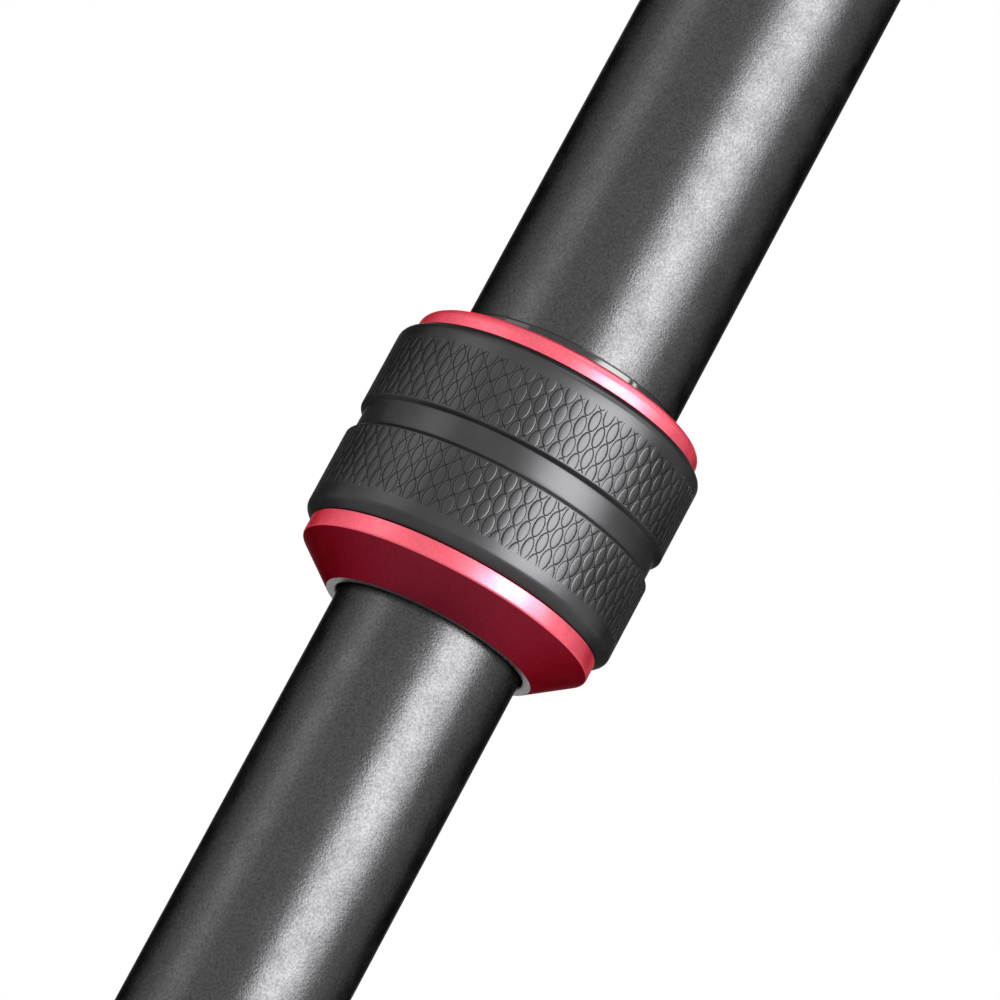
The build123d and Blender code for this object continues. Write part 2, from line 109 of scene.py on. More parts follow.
Outline = list[tuple[float, float]]
Triple = tuple[float, float, float]
Colour = Triple
Form = bmesh.types.BMesh
Ring = list[bmesh.types.BMVert]
NodeSocket = bpy.types.NodeSocket


class Slot(str, Enum):
    """The record's material slots."""

    TUBE = "tube"
    LOCK_METAL = "lock_metal"
    GRIP = "grip"
    FERRULE = "ferrule"
    BUSH = "bush"
    CASTING = "casting"
    TAB = "tab"
    STEEL = "steel"
    PAD = "pad"
    FOOT = "foot"
    LEVEL = "level"


class Shader:
    """The node tree of one material, which is built a node at a time."""

    def __init__(self, name: str) -> None:
        """Start a material that holds only a Principled shader and its output.

        Args:
            name: The material's name.
        """
        self.material = bpy.data.materials.new(name)
        self.material.use_nodes = True
        self.tree = self.material.node_tree
        self.surface = self.tree.nodes["Principled BSDF"]
        self.place = self.tree.nodes.new("ShaderNodeTexCoord").outputs["Object"]

    def set(self, **values: float | Colour) -> None:
        """Set sockets of the Principled shader.

        Args:
            values: Their values, by their names with _ for a space.
        """
        for name, value in values.items():
            socket = self.surface.inputs[name.replace("_", " ")]
            socket.default_value = (*value, 1.0) if isinstance(value, tuple) else value

    def link(self, source: NodeSocket, target: NodeSocket) -> None:
        """Join an output to an input."""
        self.tree.links.new(source, target)

    def noise(
        self, size: float, detail: float = 2.0, stretch: Triple = (1.0, 1.0, 1.0)
    ) -> NodeSocket:
        """A noise whose features are about a given size.

        Args:
            size: The size of a feature, in millimetres.
            detail: How many finer layers of noise lie on the first.
            stretch: How many times longer a feature is along X, Y and Z.

        Returns:
            The noise's value, from 0 to 1.
        """
        mapping = self.tree.nodes.new("ShaderNodeMapping")
        mapping.inputs["Scale"].default_value = [1 / (size * MM * times) for times in stretch]
        self.link(self.place, mapping.inputs["Vector"])
        texture = self.tree.nodes.new("ShaderNodeTexNoise")
        texture.inputs["Scale"].default_value = 1.0
        texture.inputs["Detail"].default_value = detail
        self.link(mapping.outputs["Vector"], texture.inputs["Vector"])
        return texture.outputs["Fac"]

    def between(self, value: NodeSocket, low: float, high: float) -> NodeSocket:
        """A value mapped from the part of its range where most of a noise lies to low and high.

        Args:
            value: A noise.
            low: The result where the noise is low.
            high: The result where it is high.

        Returns:
            The mapped value.
        """
        scale = self.tree.nodes.new("ShaderNodeMapRange")
        limits = {"From Min": 0.3, "From Max": 0.7, "To Min": low, "To Max": high}
        for name, limit in limits.items():
            scale.inputs[name].default_value = limit
        self.link(value, scale.inputs["Value"])
        return scale.outputs["Result"]

    def tone(self, value: NodeSocket, colour: Colour, dark: float, light: float = 1.0) -> None:
        """Colour the surface, a little darker or lighter as a noise has it.

        Args:
            value: The noise.
            colour: The colour.
            dark: What share of it there is where the noise is low.
            light: What share of it there is where the noise is high.
        """
        mix = self.tree.nodes.new("ShaderNodeMix")
        mix.data_type = "RGBA"
        for socket, share in (("A", dark), ("B", light)):
            shade = [min(1.0, share * part) for part in colour]
            mix.inputs[socket].default_value = (*shade, 1.0)
        self.link(self.between(value, 0.0, 1.0), mix.inputs["Factor"])
        self.link(mix.outputs["Result"], self.surface.inputs["Base Color"])

    def sheen(self, value: NodeSocket, roughness: float, spread: float) -> None:
        """Make the surface rougher by a noise, by up to a spread each way."""
        varied = self.between(value, roughness - spread, roughness + spread)
        self.link(varied, self.surface.inputs["Roughness"])

    def bump(self, value: NodeSocket, height: float) -> None:
        """Raise the surface by a noise.

        Args:
            value: The noise.
            height: The height of its relief, in millimetres.
        """
        relief = self.tree.nodes.new("ShaderNodeBump")
        relief.inputs["Distance"].default_value = height * MM
        relief.inputs["Strength"].default_value = 1.0
        self.link(value, relief.inputs["Height"])
        self.link(relief.outputs["Normal"], self.surface.inputs["Normal"])


@dataclass(frozen=True)
class Finish:
    """A surface finish. Each kind of finish fills in a shader of its own."""

    name: str
    slot: Slot

    def dress(self, shader: Shader) -> None:
        """Fill in the shader of this finish."""
        raise NotImplementedError

    def material(self) -> bpy.types.Material:
        """Make the finish's material, or find it when it is there.

        Returns:
            The material, which like pieces share.
        """
        found = bpy.data.materials.get(self.name)
        if found is None:
            shader = Shader(self.name)
            self.dress(shader)
            found = shader.material
        return found


@dataclass(frozen=True)
class Anodised(Finish):
    """Blasted and anodised aluminium: a dyed metal with a fine grain that glints in the light."""

    colour: Colour = (0.5, 0.5, 0.5)
    edge_tint: Colour = (0.4, 0.4, 0.4)
    roughness: float = 0.36
    spread: float = 0.05
    grain: float = 0.35
    grains_per_patch: float = 12.0
    relief: float = 0.006
    mottle: float = 0.12

    def dress(self, shader: Shader) -> None:
        """Give a metal a blasted grain, and a slow change of sheen along it.

        Args:
            shader: The shader that is filled in.
        """
        shader.set(Metallic=1.0, Specular_Tint=self.edge_tint)
        grain = shader.noise(self.grain, detail=3.0)
        shader.tone(grain, self.colour, 1 - self.mottle, 1 + self.mottle)
        patches = shader.noise(self.grains_per_patch * self.grain)
        shader.sheen(patches, self.roughness, self.spread)
        shader.bump(grain, self.relief)


@dataclass(frozen=True)
class Moulded(Finish):
    """A moulded rubber or plastic: a matt or shiny body with a very fine skin."""

    colour: Colour = (0.03, 0.03, 0.03)
    gloss: float = 0.0
    gloss_tint: Colour = (0.05, 0.05, 0.05)
    roughness: float = 0.5
    spread: float = 0.04
    specular: float = 0.5
    grain: float = 0.12
    grains_per_patch: float = 60.0
    relief: float = 0.003
    mottle: float = 0.15

    def dress(self, shader: Shader) -> None:
        """Give a body colour a fine skin, a little uneven in tone and sheen.

        Args:
            shader: The shader that is filled in.
        """
        shader.set(Specular_IOR_Level=self.specular, Metallic=self.gloss)
        shader.set(Specular_Tint=self.gloss_tint if self.gloss > 0 else (1.0, 1.0, 1.0))
        patches = shader.noise(self.grains_per_patch * self.grain, detail=3.0)
        shader.tone(patches, self.colour, 1 - self.mottle, 1 + self.mottle)
        shader.sheen(patches, self.roughness, self.spread)
        shader.bump(shader.noise(self.grain), self.relief)


@dataclass(frozen=True)
class TexturedPaint(Finish):
    """Black paint with a fine wrinkle over a casting."""

    colour: Colour = (0.022, 0.022, 0.024)
    specular: float = 0.35
    roughness: float = 0.42
    spread: float = 0.07
    grain: float = 0.45
    relief: float = 0.05
    dark: float = 0.75
    light: float = 1.3

    def dress(self, shader: Shader) -> None:
        """Give a dark paint its wrinkle, in relief, tone and sheen.

        Args:
            shader: The shader that is filled in.
        """
        shader.set(Specular_IOR_Level=self.specular)
        wrinkle = shader.noise(self.grain, detail=3.0)
        shader.tone(wrinkle, self.colour, self.dark, self.light)
        shader.sheen(wrinkle, self.roughness, self.spread)
        shader.bump(wrinkle, self.relief)


@dataclass(frozen=True)
class TurnedMetal(Finish):
    """Bare machined metal, with the fine rings that a lathe leaves."""

    colour: Colour = (0.6, 0.6, 0.61)
    roughness: float = 0.28
    spread: float = 0.06
    ring: float = 0.12
    drawn_out: float = 30.0
    relief: float = 0.004
    patch: float = 4.0
    dark: float = 0.88

    def dress(self, shader: Shader) -> None:
        """Give a bright metal a noise that changes along the axis faster than across it.

        Args:
            shader: The shader that is filled in.
        """
        shader.set(Metallic=1.0)
        rings = shader.noise(self.ring, stretch=(self.drawn_out, self.drawn_out, 1.0))
        shader.tone(shader.noise(self.patch), self.colour, self.dark)
        shader.sheen(rings, self.roughness, self.spread)
        shader.bump(rings, self.relief)


@dataclass(frozen=True)
class Liquid(Finish):
    """The level's clear cap over its tinted liquid."""

    colour: Colour = (0.55, 0.85, 0.12)
    clearness: float = 0.35
    patch: float = 3.0
    dark: float = 0.8

    def dress(self, shader: Shader) -> None:
        """A clear tinted body under a polished skin."""
        shader.set(Roughness=0.06, IOR=1.45, Transmission_Weight=self.clearness)
        shader.tone(shader.noise(self.patch, detail=1.0), self.colour, self.dark)


BLACK_TUBE = Anodised(
    "black_blasted_anodised",
    Slot.TUBE,
    colour=(0.066, 0.066, 0.068),
    edge_tint=(0.03, 0.03, 0.03),
    roughness=0.31,
    grain=0.26,
    relief=0.024,
    mottle=0.3,
)
RED_ANODISED = Anodised(
    "red_bright_anodised",
    Slot.LOCK_METAL,
    colour=(0.82, 0.13, 0.175),
    edge_tint=(0.1, 0.03, 0.04),
    roughness=0.39,
    grain=0.2,
)
# Painted shade: the nut's cone is a darker red than its ring, standing in for the dark surroundings
# that it reflects.
RED_CONE_PAINTED_SHADE = Anodised(
    "red_anodised_cone_painted_shade",
    Slot.LOCK_METAL,
    colour=(0.2, 0.014, 0.028),
    edge_tint=(0.2, 0.03, 0.05),
    roughness=0.45,
    grain=0.25,
    relief=0.01,
)
RED_TAB = Anodised(
    "red_satin_anodised",
    Slot.TAB,
    colour=(0.42, 0.03, 0.06),
    edge_tint=(0.25, 0.04, 0.07),
    roughness=0.4,
    grain=0.25,
    relief=0.008,
)
GRIP_RUBBER = Moulded(
    "black_grip_rubber", Slot.GRIP, colour=(0.06, 0.06, 0.062), gloss=0.95, roughness=0.36
)
FOOT_RUBBER = Moulded(
    "matt_foot_rubber",
    Slot.FOOT,
    colour=(0.018, 0.018, 0.019),
    roughness=0.6,
    specular=0.25,
    grain=0.3,
    relief=0.014,
)
PAD_RUBBER = Moulded(
    "ribbed_pad_rubber",
    Slot.PAD,
    colour=(0.022, 0.022, 0.023),
    roughness=0.6,
    specular=0.3,
    grain=0.2,
    relief=0.01,
)
GLOSS_BLACK = Moulded(
    "gloss_black",
    Slot.FERRULE,
    colour=(0.065, 0.065, 0.065),
    gloss=0.95,
    roughness=0.12,
    relief=0.0005,
)
ACETAL = Moulded("grey_acetal", Slot.BUSH, colour=(0.3, 0.3, 0.31), roughness=0.4)
CAST_PAINT = TexturedPaint("black_textured_paint", Slot.CASTING)
BARE_METAL = TurnedMetal(
    "turned_bare_metal", Slot.LOCK_METAL, colour=(0.22, 0.2, 0.205), roughness=0.45
)
NUT_FINISHES = (RED_ANODISED, BARE_METAL, RED_CONE_PAINTED_SHADE)
STEEL = TurnedMetal("turned_steel", Slot.STEEL, colour=(0.5, 0.5, 0.51))
# Painted shade: the near-black steel on the floors of the hinge bolts' sockets.
SOCKET_PAINTED_SHADE_STEEL = TurnedMetal("steel_painted_socket_shade", Slot.STEEL, colour=(0.06, 0.06, 0.065), roughness=0.45)
LEVEL_LIQUID = Liquid("level_liquid", Slot.LEVEL)
# The bubble is paler than the liquid, partly for the air in it and partly as a painted highlight.
LEVEL_BUBBLE_HIGHLIGHT = Liquid("level_bubble", Slot.LEVEL, colour=(0.8, 0.95, 0.45))


@dataclass
class Profile:
    """A half section of a turned piece, as corners of (radius, height), any of them rounded."""

    corners: list[Triple] = field(default_factory=list)
    step: float = radians(12)

    def at(self, radius: float, height: float, rounding: float = 0.0) -> Profile:
        """Add a corner, rounded to a radius, and return the profile for the next one."""
        self.corners.append((radius, height, rounding))
        return self

    def outline(self, closed: bool = True) -> Outline:
        """The section's points, with an arc at each rounded corner.

        Args:
            closed: Whether the last corner joins the first.

        Returns:
            The points, in the order of the corners.
        """
        points: Outline = []
        count = len(self.corners)
        for index, (radius, height, rounding) in enumerate(self.corners):
            inside = closed or 0 < index < count - 1
            if rounding > 0 and inside:
                before = Vector(self.corners[index - 1][:2])
                after = Vector(self.corners[(index + 1) % count][:2])
                points += self.arc(before, Vector((radius, height)), after, rounding)
            else:
                points.append((radius, height))
        return points

    def arc(self, before: Vector, corner: Vector, after: Vector, rounding: float) -> Outline:
        """The points of the arc that rounds a corner.

        Args:
            before: The corner before this one.
            corner: The corner.
            after: The corner after it.
            rounding: The arc's radius.

        Returns:
            The arc's points.
        """
        to_before = (before - corner).normalized()
        to_after = (after - corner).normalized()
        half = to_before.angle(to_after) / 2
        reach = rounding / tan(half)
        centre = corner + (to_before + to_after).normalized() * rounding / sin(half)
        first = corner + to_before * reach - centre
        last = corner + to_after * reach - centre
        turn = atan2(first.cross(last), first.dot(last))
        count = max(2, round(abs(turn) / self.step))
        points = []
        for index in range(count + 1):
            spoke = Matrix.Rotation(turn * index / count, 2) @ first
            points.append(tuple(centre + spoke))
        return points


def raised(place: Matrix, height: float) -> Matrix:
    """A place further along another's own Z, by a height in millimetres."""
    return place @ Matrix.Translation((0, 0, height * MM))


class Maker:
    """Turns meshes into pieces that ride on the bodies of the frame whose joints it knows.

    Like pieces start from one mesh, and each has its own copy of it in its place in the row frame.
    """

    def __init__(self, frame: dict) -> None:
        """Start with no shared meshes.

        Args:
            frame: The loaded frame.
        """
        self.nodes: dict[str, bpy.types.Object] = frame["nodes"]
        self.joints: dict[str, dict] = {joint["name"]: joint for joint in frame["joints"]}
        self.meshes: dict[str, bpy.types.Mesh] = {}

    def shared(self, name: str, build: Callable[[], Form]) -> bpy.types.Mesh:
        """A mesh that like pieces share.

        Args:
            name: The mesh's name.
            build: What makes it, in millimetres, the first time.

        Returns:
            The mesh, in metres.
        """
        if name not in self.meshes:
            form = build()
            bmesh.ops.recalc_face_normals(form, faces=form.faces)
            bmesh.ops.scale(form, vec=(MM, MM, MM), verts=form.verts)
            mesh = bpy.data.meshes.new(name)
            form.to_mesh(mesh)
            form.free()
            mesh.shade_smooth()
            mesh.set_sharp_from_angle(angle=SHARP)
            self.meshes[name] = mesh
        return self.meshes[name]

    def piece(
        self,
        name: str,
        mesh: bpy.types.Mesh,
        place: Matrix,
        body: str,
        finishes: Sequence[Finish],
        *nodes: str,
    ) -> None:
        """Make one piece of the object, in its place and on its body.

        Args:
            name: The piece's name.
            mesh: Its mesh.
            place: The matrix from its own frame, in metres, to the row frame.
            body: The body that it rides on.
            finishes: Its finishes, in the order of the mesh's material indices.
            nodes: The CAD nodes that it stands for.
        """
        own = mesh.copy()
        own.name = name
        own.transform(place)
        for finish in finishes:
            own.materials.append(finish.material())
        thing = bpy.data.objects.new(name, own)
        bpy.context.scene.collection.objects.link(thing)
        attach(thing, body)
        if nodes:
            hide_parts(*nodes)
        log.info("%s: %d faces on %s", name, len(mesh.polygons), body)

    def turning(self, name: str, kind: str, lock: TwistLock, place: Matrix) -> None:
        """Make a twist lock's nut and its grip, which turn together.

        Args:
            name: The lock's name, which its body's name starts with.
            kind: A name for the meshes that like locks share.
            lock: The lock.
            place: Where it stands.
        """
        body = f"{name}_lock"
        nut = self.shared(f"{kind}_nut", lock.nut)
        grip = self.shared(f"{kind}_grip", lock.grip)
        self.piece(f"{name}_collar", nut, place, body, NUT_FINISHES, f"{body}_nut")
        self.piece(f"{name}_rubber", grip, place, body, [GRIP_RUBBER], f"{body}_grip")


def ring(form: Form, radii: list[float], height: float) -> Ring:
    """Add a ring of vertices about Z.

    Args:
        form: The form that it is added to.
        radii: How far each vertex is from the axis.
        height: Their height.

    Returns:
        The vertices, in even steps from the X axis round.
    """
    vertices = []
    for step, radius in enumerate(radii):
        angle = 2 * pi * step / len(radii)
        vertices.append(form.verts.new((radius * cos(angle), radius * sin(angle), height)))
    return vertices


def pairs(items: list, closed: bool = True) -> Iterable[tuple]:
    """Each item with the next one, and the last with the first if they are closed."""
    return zip(items, items[1:] + items[:1] if closed else items[1:])


def skin(form: Form, rings: list[Ring], closed: bool = False) -> None:
    """Fill the bands between rings that have as many vertices each.

    Args:
        form: The form that the faces are added to.
        rings: The rings, in order.
        closed: Whether the last is joined to the first.
    """
    for low, high in pairs(rings, closed):
        for (here, after), (above, above_after) in zip(pairs(low), pairs(high)):
            form.faces.new((here, after, above_after, above))


def reach_of(point: Vector) -> float:
    """How far a point is from the Z axis."""
    return hypot(point.x, point.y)


def lathe(outline: Outline, segments: int, closed: bool = True) -> Form:
    """A solid or tube of revolution about Z.

    Args:
        outline: Its half section, as points of (radius, height).
        segments: How many steps it has round the axis.
        closed: Whether the last point joins the first.

    Returns:
        The form, in millimetres.
    """
    form = bmesh.new()
    rings = [ring(form, [radius] * segments, height) for radius, height in outline]
    skin(form, rings, closed)
    bmesh.ops.remove_doubles(form, verts=form.verts, dist=TOUCHING)
    flat = [face for face in form.faces if face.calc_area() < NO_AREA]
    bmesh.ops.delete(form, geom=flat, context="FACES")
    return form


@dataclass(frozen=True)
class ScaleBand:
    """The moulded pattern of the grip: staggered oval pads, each in its own fine groove.

    Every pad stands in a six-sided cell, whose ends are two tips wide, and grows narrow towards
    its own ends by the power of its point. The net is how deep the ground between cells lies. All
    of the relief fades out over a short way before a smooth lip.
    """

    pitch_round: float = 2.45
    pitch_along: float = 2.66
    pad_width: float = 1.1
    pad_length: float = 2.5
    point: float = 1.1
    groove: float = 0.075
    depth: float = 0.17
    net: float = 0.03
    pad_edge: float = 0.04
    pad_round: float = 0.1
    pad_flat: float = 0.16
    pad_fall: float = 0.005
    tip: float = 0.2
    fade: float = 0.4

    def count(self, radius: float) -> int:
        """How many pads one row has round the grip."""
        return round(2 * pi * radius / self.pitch_round)

    def border(self) -> Outline:
        """The six-sided cell that a pad stands in.

        Returns:
            Its 16 points, from its right corner.
        """
        side = self.pitch_round / 2 - self.tip
        top = self.pitch_along / 2
        corners = [
            (side, 0.0, 3),
            (self.tip, top, 2),
            (-self.tip, top, 3),
            (-side, 0.0, 3),
            (-self.tip, -top, 2),
            (self.tip, -top, 3),
        ]
        points = []
        for here, ahead in pairs(corners):
            steps = here[2]
            for step in range(steps):
                share = step / steps
                points.append(tuple(a + share * (b - a) for a, b in zip(here[:2], ahead[:2])))
        return points

    def oval(self, border: Outline, grown: float) -> Outline:
        """An oval inside a cell, with one point for each of the cell's.

        Args:
            border: The cell's points.
            grown: How much larger than the pad the oval is, all round.

        Returns:
            The oval's points.
        """
        half_width = self.pad_width / 2 + grown
        half_length = self.pad_length / 2 + grown
        points = []
        for across, along in border:
            angle = atan2(along / self.pitch_along, across / self.pitch_round)
            width = half_width * abs(cos(angle)) ** self.point
            points.append((width if across > 0 else -width, half_length * sin(angle)))
        return points

    def relief(self, radius: float, low: float, high: float, smooth_end: float) -> Form:
        """The band's outer skin, with every pad that reaches between two heights.

        Args:
            radius: The radius that the pads reach.
            low: The band's lower height.
            high: Its upper height.
            smooth_end: The one of those heights at which the grooves run out into a smooth lip.

        Returns:
            The skin, cut at both heights, in millimetres.
        """
        form = bmesh.new()
        count = self.count(radius)
        border = self.border()
        contours = [
            (border, self.net),
            (self.oval(border, self.groove), self.net),
            (self.oval(border, self.groove / 2), self.depth),
            (self.oval(border, 0.0), self.pad_edge),
            (self.oval(border, -self.pad_round), self.pad_fall),
            (self.oval(border, -self.pad_flat), 0.0),
        ]
        first = int((low - self.pitch_along) // self.pitch_along)
        last = int((high + self.pitch_along) // self.pitch_along)

        def vertex(across: float, along: float, inset: float) -> bmesh.types.BMVert:
            """Add a vertex on the band.

            Args:
                across: Its place along the round.
                along: Its height.
                inset: How far below the pads it lies, away from the smooth end.

            Returns:
                The vertex.
            """
            angle = 2 * pi * across / (count * self.pitch_round)
            way_in = (smooth_end - along) if smooth_end == high else (along - smooth_end)
            reach = radius - inset * min(1.0, max(0.0, way_in / self.fade))
            return form.verts.new((reach * cos(angle), reach * sin(angle), along))

        for column in range(2 * count):
            across = column * self.pitch_round / 2
            for row in range(first, last + 1):
                along = (row + 0.5 * (column % 2)) * self.pitch_along
                if not low - self.pitch_along / 2 < along < high + self.pitch_along / 2:
                    continue
                rings = [
                    [vertex(across + x, along + z, inset) for x, z in contour]
                    for contour, inset in contours
                ]
                crown = vertex(across, along, 0.0)
                skin(form, rings)
                for here, after in pairs(rings[-1]):
                    form.faces.new((here, after, crown))
        bmesh.ops.remove_doubles(form, verts=form.verts, dist=SEAM)
        for height, way in ((low, -1), (high, 1)):
            bmesh.ops.bisect_plane(
                form,
                geom=form.verts[:] + form.edges[:] + form.faces[:],
                dist=TOUCHING,
                plane_co=(0, 0, height),
                plane_no=(0, 0, way),
                clear_outer=True,
            )
        return form


@dataclass(frozen=True)
class TwistLock:
    """A twist lock: a red nut with a rubber grip, on a ferrule bonded to the outer tube.

    Heights are from the middle of the grip, towards the end that the outer tube comes from.
    Radii are how far a face stands out from the outer tube, or the inner one at the mouth. The
    margin is a plain stretch at the end of a band of scales, and the gap keeps the rubber off the
    metal beside it. The bare size says which faces of the nut are bare metal, and the cone size
    says which faces of its cone are painted a darker red as shade.
    """

    tube_r: float
    inner_r: float
    lip_top: float = 16.05
    lip_proud: float = 0.45
    lip_bore: float = 0.6
    ring_crest: float = 15.2
    ring_corner: float = 14.1
    ring_round: float = 1.2
    ring_base: float = 12.14
    ring_proud: float = 4.37
    seat_proud: float = 3.6
    rim_top: float = -11.78
    rim_base: float = -13.8
    rim_proud: float = 4.58
    mouth: float = -17.67
    mouth_gap: float = 0.25
    mouth_land: float = 1.4
    thread_top: float = 13.8
    grip_proud: float = 5.71
    edge_proud: float = 4.67
    crown: float = 11.25
    foot: float = -10.8
    upper_band: tuple[float, float] = (2.25, 9.75)
    lower_band: tuple[float, float] = (-9.2, -1.8)
    groove_top: float = 2.1
    groove_wall: float = 1.75
    groove_foot: float = -1.1
    groove_base: float = -1.67
    groove_proud: float = 5.08
    scales: ScaleBand = ScaleBand()
    groove_seams: tuple[float, float] = (1.0, -0.5)
    lip_step: float = radians(20)
    margin: float = 0.1
    gap: float = 0.05
    bare_edge: float = 0.02
    bare_depth: float = 1.0
    cone_edge: float = 0.35
    land_depth: float = 2.5
    segments: int = 192

    def nut(self) -> Form:
        """A nut: a domed ring, the grip's seat, a rim, and a cone to the bare face of its mouth.

        Returns:
            Its form, in millimetres.
        """
        ring_r = self.tube_r + self.ring_proud
        seat_r = self.tube_r + self.seat_proud
        rim_r = self.tube_r + self.rim_proud
        profile = (
            Profile()
            .at(self.tube_r + self.lip_bore, self.ring_crest, 0.15)
            .at(ring_r, self.ring_corner, self.ring_round)
            .at(ring_r, self.ring_base, 0.12)
            .at(seat_r, self.ring_base)
            .at(seat_r, self.rim_top)
            .at(rim_r, self.rim_top, 0.12)
            .at(rim_r, self.rim_base, 0.3)
            .at(self.inner_r + self.mouth_land, self.mouth, 0.1)
            .at(self.inner_r + self.mouth_gap, self.mouth, 0.35)
            .at(self.inner_r + self.mouth_gap, self.mouth + self.land_depth)
            .at(self.tube_r + self.lip_bore, self.thread_top)
        )
        form = lathe(profile.outline(), self.segments)
        bare_r = self.inner_r + self.mouth_land - self.bare_edge
        for face in form.faces:
            middle = face.calc_center_median()
            reach = reach_of(middle)
            if reach < bare_r and middle.z < self.mouth + self.bare_depth:
                face.material_index = 1
            # The cone's faces take the darker red of painted shade.
            elif reach < rim_r - self.cone_edge and middle.z < self.rim_base:
                face.material_index = 2
        return form

    def ferrule(self) -> Form:
        """The gloss lip of the ferrule, which shows between the nut and the outer tube.

        Returns:
            Its form, in millimetres.
        """
        profile = (
            Profile()
            .at(self.tube_r, self.lip_top)
            .at(self.tube_r + self.lip_proud, self.lip_top, 0.3)
            .at(self.tube_r + self.lip_proud, self.thread_top)
            .at(self.tube_r, self.thread_top)
        )
        return lathe(profile.outline(), self.segments)

    def grip(self) -> Form:
        """The rubber grip: two bands of scales, smooth lips and a smooth groove in the middle.

        Returns:
            Its form, in millimetres.
        """
        band_r = self.tube_r + self.grip_proud
        seat_r = self.tube_r + self.seat_proud
        groove_r = self.tube_r + self.groove_proud
        wall, top = self.upper_band
        bottom, floor = self.lower_band
        form = join(
            self.scales.relief(band_r, wall, top, smooth_end=top),
            self.scales.relief(band_r, bottom, floor, smooth_end=bottom),
        )
        lips = []
        for edge, margin, brow, rounding, tip_r, end in (
            (top, self.margin, self.crown, 1.0, self.edge_proud, self.ring_base - self.gap),
            (bottom, -self.margin, self.foot, 0.9, self.rim_proud, self.rim_top + self.gap),
        ):
            lip = (
                Profile(step=self.lip_step)
                .at(band_r, edge)
                .at(band_r, edge + margin)
                .at(band_r, brow, rounding)
                .at(self.tube_r + tip_r, end, 0.25)
                .at(seat_r, end)
            )
            lips += run_on(form, edge, lip.outline(closed=False), settle=True)
        walls = []
        for edge, brow, brow_round, toe, toe_round, seam in (
            (wall, self.groove_top, 0.15, self.groove_wall, 0.15, self.groove_seams[0]),
            (floor, self.groove_base, 0.1, self.groove_foot, 0.25, self.groove_seams[1]),
        ):
            side = (
                Profile(step=self.lip_step)
                .at(band_r, edge)
                .at(band_r, brow, brow_round)
                .at(groove_r, toe, toe_round)
                .at(groove_r, seam)
            )
            walls += run_on(form, edge, side.outline(closed=False))
        for edges in (walls, lips):
            bmesh.ops.bridge_loops(form, edges=edges)
        return form


def join(first: Form, second: Form) -> Form:
    """Put the second form into the first.

    Args:
        first: The form that grows.
        second: The form that is added and then freed.

    Returns:
        The first form.
    """
    mesh = bpy.data.meshes.new("joining")
    second.to_mesh(mesh)
    second.free()
    first.from_mesh(mesh)
    bpy.data.meshes.remove(mesh)
    return first


def run_on(
    form: Form, height: float, outline: Outline, settle: bool = False
) -> list[bmesh.types.BMEdge]:
    """Carry a skin's open edge at a height on, along the points of an outline.

    Args:
        form: The skin, about Z.
        height: The height of the open edge.
        outline: Points of (radius, height), for the edge to pass through in turn.
        settle: Whether the open edge itself is moved to the first of them.

    Returns:
        The edges that are left open at the outline's end.
    """
    rim = [
        edge
        for edge in form.edges
        if edge.is_boundary and all(abs(end.co.z - height) < SEAM for end in edge.verts)
    ]
    for index, (radius, level) in enumerate(outline):
        if index > 0 or not settle:
            grown = bmesh.ops.extrude_edge_only(form, edges=rim)["geom"]
            rim = [item for item in grown if isinstance(item, bmesh.types.BMEdge)]
        ends = {end for edge in rim for end in edge.verts}
        for end in ends:
            reach = reach_of(end.co)
            end.co = (end.co.x * radius / reach, end.co.y * radius / reach, level)
    return rim


@dataclass(frozen=True)
class Tube:
    """One thin-walled tube, with its cut ends broken."""

    radius: float
    wall: float
    low: float
    high: float
    segments: int = 160
    edge: float = 0.3

    def form(self) -> Form:
        """The tube, with both ends open.

        Returns:
            Its form, in millimetres.
        """
        bore = self.radius - self.wall
        profile = (
            Profile()
            .at(self.radius, self.low, self.edge)
            .at(self.radius, self.high, self.edge)
            .at(bore, self.high, self.edge)
            .at(bore, self.low, self.edge)
        )
        return lathe(profile.outline(), self.segments)


@dataclass(frozen=True)
class Foot:
    """The rubber foot: a swollen pad that stands on its rounded edge, with a sleeve up the tube."""

    radius: float = 13.87
    face: float = -14.0
    rounding: float = 9.05
    belly: float = 3.0
    waist: float = 12.0
    sleeve_r: float = 12.2
    top: float = 22.0
    bore: float = 9.5
    groove_pitch: float = 3.2
    groove_depth: float = 0.5
    grooves: int = 2
    segments: int = 128

    def form(self) -> Form:
        """The foot, with fine grooves round its sleeve.

        Returns:
            Its form, in millimetres.
        """
        profile = (
            Profile(step=radians(5))
            .at(0.0, self.face)
            .at(self.radius, self.face, self.rounding)
            .at(self.radius, self.belly, 4.0)
            .at(self.sleeve_r, self.waist, 4.0)
        )
        level = self.waist + self.groove_pitch / 2
        for _ in range(self.grooves):
            profile.at(self.sleeve_r, level, 0.2)
            profile.at(self.sleeve_r - self.groove_depth, level + self.groove_depth, 0.2)
            profile.at(self.sleeve_r, level + 2 * self.groove_depth, 0.2)
            level += self.groove_pitch
        profile.at(self.sleeve_r, self.top, 0.9)
        profile.at(self.bore, self.top, 0.3)
        profile.at(self.bore, 0.0)
        profile.at(0.0, 0.0)
        return lathe(profile.outline(), self.segments)


